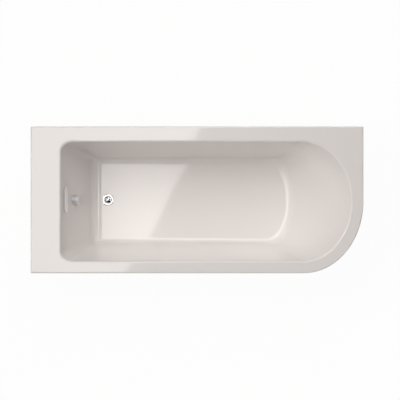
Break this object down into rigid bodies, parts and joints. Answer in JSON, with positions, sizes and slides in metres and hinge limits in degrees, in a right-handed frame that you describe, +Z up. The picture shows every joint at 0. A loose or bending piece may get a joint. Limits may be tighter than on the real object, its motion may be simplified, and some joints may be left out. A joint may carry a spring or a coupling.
{
  "type": "single-ended bath with one curved corner",
  "caption": "White acrylic bath with one large curved corner, sloping backrest, curved panel, leg frame, pop-up waste, slot overflow and control knob.",
  "frame": {"origin": "on the floor, under the middle of the rim's outline", "axes": "+X from the tap end to the head end, +Y to the back wall, +Z up"},
  "size_m": [1.7, 0.75, 0.56],
  "materials": {
    "white_acrylic": "gloss",
    "glassfibre": "matt",
    "chipboard": "matt",
    "softwood": "matt",
    "plywood": "matt",
    "zinc_plated_steel": "satin",
    "galvanised_steel": "satin",
    "chrome": "polished",
    "white_plastic": "satin",
    "black_rubber": "matt",
    "grey_plastic": "matt",
    "black_plastic": "satin",
    "hose_plastic": "satin"
  },
  "bodies": {
    "bath": {"bath_shell": "white_acrylic", "fibreglass_backing": "glassfibre", "base_board": "chipboard", "rim_batten_back": "softwood", "rim_batten_front": "softwood", "rim_batten_tap_end": "softwood", "rim_batten_head_end": "softwood", "rim_batten_corner": "plywood", "tap_deck_board": "chipboard", "front_panel": "white_acrylic", "panel_clips": "white_plastic", "clip_screws": "zinc_plated_steel", "panel_floor_batten": "softwood", "panel_screws": "zinc_plated_steel", "panel_screw_caps": "white_plastic", "leg_bar_tap_end": "galvanised_steel", "leg_bar_head_end": "galvanised_steel", "centre_leg_bracket": "galvanised_steel", "leg_nuts": "zinc_plated_steel", "leg_screws": "zinc_plated_steel", "wall_brackets": "galvanised_steel", "bracket_screws": "zinc_plated_steel", "waste_flange": "chrome", "flange_gasket": "black_rubber", "waste_body": "white_plastic", "body_gasket": "black_rubber", "overflow_cover": "chrome", "overflow_frame": "white_plastic", "overflow_screws": "zinc_plated_steel", "overflow_gasket": "black_rubber", "overflow_housing": "white_plastic", "knob_bush": "chrome", "bush_nut": "zinc_plated_steel", "overflow_hose": "hose_plastic", "hose_nuts": "white_plastic", "control_cable": "black_plastic", "cable_glands": "grey_plastic"},
    "knob": {"control_knob": "chrome", "knob_spindle": "zinc_plated_steel"},
    "plug": {"pop_up_plug": "chrome", "plug_seal": "black_rubber"},
    "lever": {"lift_lever": "grey_plastic"},
    "foot_tap_front": {"foot_rod_tap_front": "zinc_plated_steel", "foot_pad_tap_front": "black_plastic"},
    "foot_tap_back": {"foot_rod_tap_back": "zinc_plated_steel", "foot_pad_tap_back": "black_plastic"},
    "foot_head_front": {"foot_rod_head_front": "zinc_plated_steel", "foot_pad_head_front": "black_plastic"},
    "foot_head_back": {"foot_rod_head_back": "zinc_plated_steel", "foot_pad_head_back": "black_plastic"},
    "foot_centre": {"foot_rod_centre": "zinc_plated_steel", "foot_pad_centre": "black_plastic"}
  },
  "joints": [
    {"name": "knob_turn", "type": "hinge", "parent": "bath", "child": "knob", "pos_m": [-0.63023, 0, 0.39586], "axis": [0.923, 0, 0.3848], "range_deg": [0, 90]},
    {"name": "plug_rise", "type": "slide", "parent": "bath", "child": "plug", "axis": [0, 0, 1], "range_m": [0, 0.009]},
    {"name": "lever_swing", "type": "hinge", "parent": "bath", "child": "lever", "pos_m": [-0.455, 0.02356, 0.10478], "axis": [-1, 0, 0], "range_deg": [0, 22]},
    {"name": "foot_tap_front_level", "type": "slide", "parent": "bath", "child": "foot_tap_front", "axis": [0, 0, 1], "range_m": [-0.015, 0.01]},
    {"name": "foot_tap_back_level", "type": "slide", "parent": "bath", "child": "foot_tap_back", "axis": [0, 0, 1], "range_m": [-0.015, 0.01]},
    {"name": "foot_head_front_level", "type": "slide", "parent": "bath", "child": "foot_head_front", "axis": [0, 0, 1], "range_m": [-0.015, 0.01]},
    {"name": "foot_head_back_level", "type": "slide", "parent": "bath", "child": "foot_head_back", "axis": [0, 0, 1], "range_m": [-0.015, 0.01]},
    {"name": "foot_centre_level", "type": "slide", "parent": "bath", "child": "foot_centre", "axis": [0, 0, 1], "range_m": [-0.015, 0.01]}
  ],
  "couplings": [
    {"joint": "plug_rise", "follows": "knob_turn", "m_per_rad": 0.00573},
    {"joint": "lever_swing", "follows": "knob_turn", "ratio": 0.24442}
  ]
}
